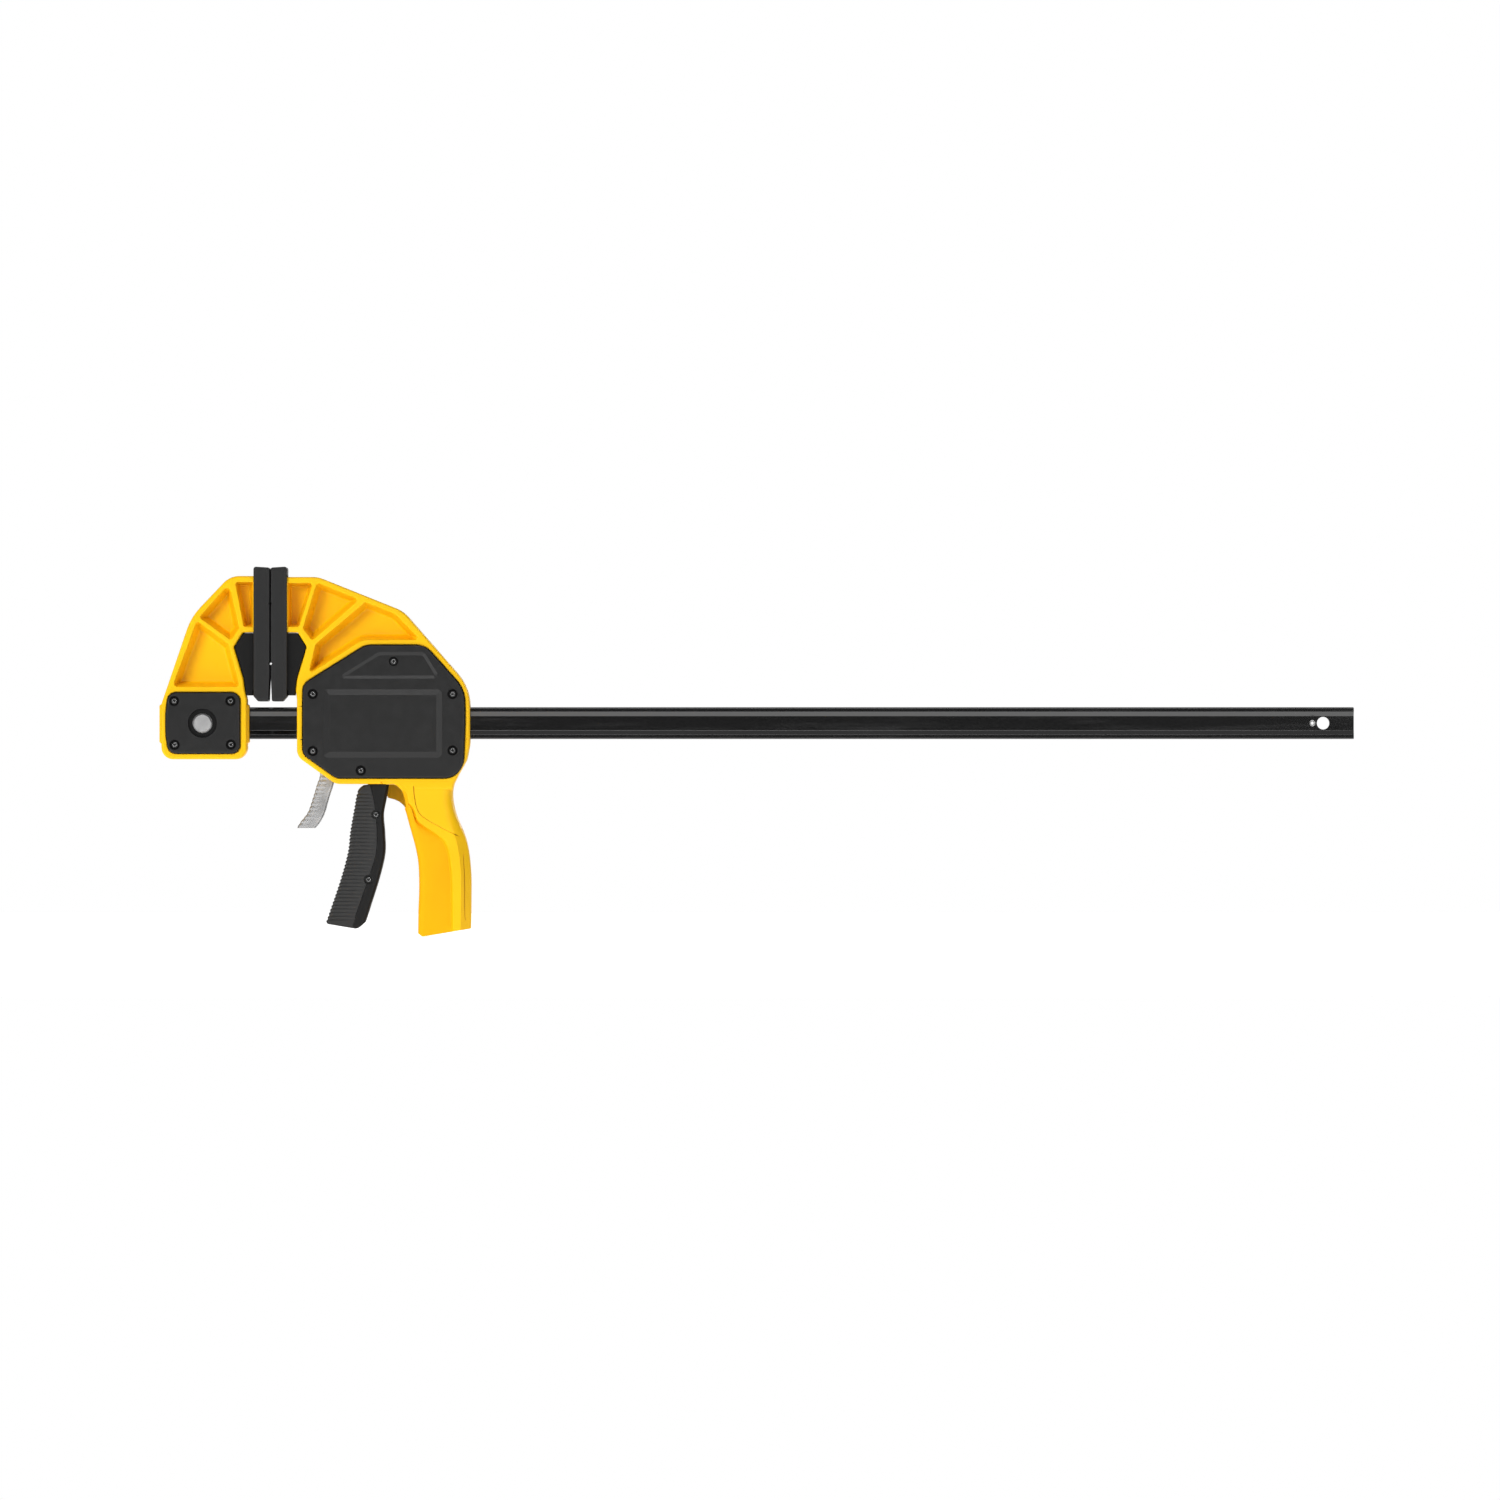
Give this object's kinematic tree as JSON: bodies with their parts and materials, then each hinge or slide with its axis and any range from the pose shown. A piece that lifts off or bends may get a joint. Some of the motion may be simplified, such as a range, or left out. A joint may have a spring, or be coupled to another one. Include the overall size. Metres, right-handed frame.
{
  "type": "trigger bar clamp",
  "caption": "One-handed bar clamp: ribbed fixed jaw, sliding jaw with pistol grip, squeeze trigger and release lever on an I-section bar.",
  "frame": {"origin": "on the bar's centre line, at the outer end face of the fixed jaw's collar, midway between the jaw's two sides", "axes": "+X along the bar away from the fixed jaw, +Z from the bar to the jaws' open side, +Y towards the side without screws"},
  "size_m": [0.8236, 0.0412, 0.2549],
  "materials": {
    "yellow_moulding": "satin glass-filled nylon, yellow",
    "black_moulding": "fine-textured black nylon",
    "pad_rubber": "matte black rubber",
    "painted_bar": "smooth black paint on steel",
    "steel": "bright steel",
    "cast_metal": "satin die-cast metal",
    "screw": "black oxide"
  },
  "bodies": {
    "bar_and_fixed_jaw": {"bar": "painted_bar", "bar_stop_pin": "steel", "fixed_jaw_body": "yellow_moulding", "fixed_jaw_front_cover": "black_moulding", "fixed_jaw_back_cover": "black_moulding", "fixed_jaw_screw_1": "screw", "fixed_jaw_screw_2": "screw", "fixed_jaw_screw_3": "screw", "fixed_jaw_screw_4": "screw", "fixed_jaw_pad": "pad_rubber", "fixed_jaw_pad_liner": "black_moulding", "button_spring": "steel"},
    "button": {"release_button": "steel"},
    "sliding_jaw": {"main_body": "yellow_moulding", "body_front_cover": "black_moulding", "body_back_cover": "black_moulding", "body_screw_1": "screw", "body_screw_2": "screw", "body_screw_3": "screw", "body_screw_4": "screw", "body_screw_5": "screw", "body_screw_6": "screw", "moving_jaw_pad": "pad_rubber", "moving_jaw_pad_liner": "black_moulding", "front_bar_guide": "black_moulding", "rear_bar_guide": "black_moulding", "trigger_pivot_pin": "steel", "lever_pivot_pin": "steel", "drive_spring": "steel", "brake_spring": "steel"},
    "trigger": {"trigger_lever": "steel", "trigger_front_grip": "black_moulding", "trigger_back_grip": "black_moulding", "trigger_screw_1": "screw", "trigger_screw_2": "screw"},
    "lever": {"release_lever": "cast_metal"},
    "drive_plates": {"drive_plate_1": "steel", "drive_plate_2": "steel"},
    "brake": {"brake_plate": "steel"}
  },
  "joints": [
    {"name": "jaw_slide", "type": "slide", "parent": "bar_and_fixed_jaw", "child": "sliding_jaw", "axis": [1, 0, 0], "range_m": [0, 0.6096]},
    {"name": "button_press", "type": "slide", "parent": "bar_and_fixed_jaw", "child": "button", "axis": [0, 1, 0], "range_m": [0, 0.006], "stiffness_N_per_m": 600, "springref_m": -0.004, "deforming": ["button_spring"]},
    {"name": "trigger_pull", "type": "hinge", "parent": "sliding_jaw", "child": "trigger", "pos_m": [0.15, 0, 0.022], "axis": [0, -1, 0], "range_deg": [0, 9.5], "stiffness_Nm_per_rad": 4, "springref_deg": -5.73},
    {"name": "lever_pull", "type": "hinge", "parent": "sliding_jaw", "child": "lever", "pos_m": [0.115, 0, -0.0195], "axis": [0, -1, 0], "range_deg": [0, 12], "stiffness_Nm_per_rad": 1.5, "springref_deg": -5.73},
    {"name": "drive_plates_push", "type": "slide", "parent": "sliding_jaw", "child": "drive_plates", "axis": [1, 0, 0], "range_m": [0, 0.0081], "deforming": ["drive_spring"]},
    {"name": "brake_tilt", "type": "hinge", "parent": "sliding_jaw", "child": "brake", "pos_m": [0.1245, 0, 0.0165], "axis": [0, -1, 0], "range_deg": [0, 2.7], "deforming": ["brake_spring"]}
  ],
  "couplings": [
    {"joint": "drive_plates_push", "follows": "trigger_pull", "m_per_rad": 0.048},
    {"joint": "brake_tilt", "follows": "lever_pull", "ratio": 0.2128}
  ]
}
